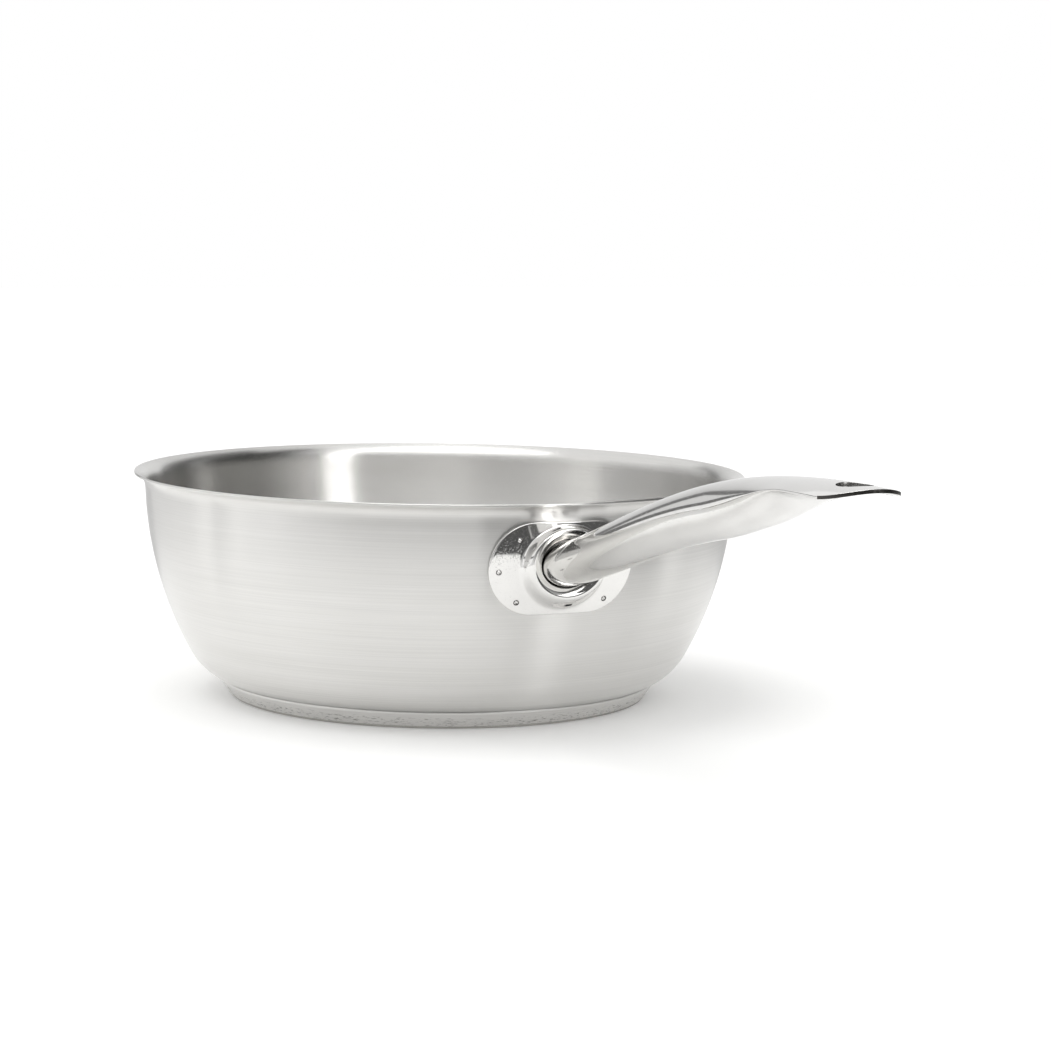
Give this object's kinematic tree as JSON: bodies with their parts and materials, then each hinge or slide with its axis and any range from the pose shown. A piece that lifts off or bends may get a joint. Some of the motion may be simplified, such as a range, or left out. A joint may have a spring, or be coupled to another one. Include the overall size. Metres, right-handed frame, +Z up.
{
  "type": "saute pan",
  "caption": "Stainless saute pan with rounded walls, a flared pouring lip, a sandwich base and a hollow tube handle welded into a pressed plate.",
  "frame": {"origin": "centre of the base plate's underside, on the surface that the pan stands on", "axes": "+Z up along the bowl's axis, +X along the handle from the bowl towards its hang hole, +Y to the left of the handle"},
  "size_m": [0.4651, 0.25, 0.1193],
  "materials": {
    "vessel_steel": "satin, brushed in fine lines around the bowl",
    "core_aluminium": "turned edge with smeared marks",
    "foot_steel": "satin, brushed in rings",
    "polished_steel": "mirror polished",
    "weld_steel": "raw weld bead"
  },
  "bodies": {
    "root": {"vessel": "vessel_steel", "base_core": "core_aluminium", "base_plate": "foot_steel", "handle_plate": "polished_steel", "spot_weld_1": "polished_steel", "spot_weld_2": "polished_steel", "spot_weld_3": "polished_steel", "spot_weld_4": "polished_steel", "spot_weld_5": "polished_steel", "spot_weld_6": "polished_steel", "handle_root_weld": "weld_steel", "handle_tube": "polished_steel"}
  },
  "joints": []
}
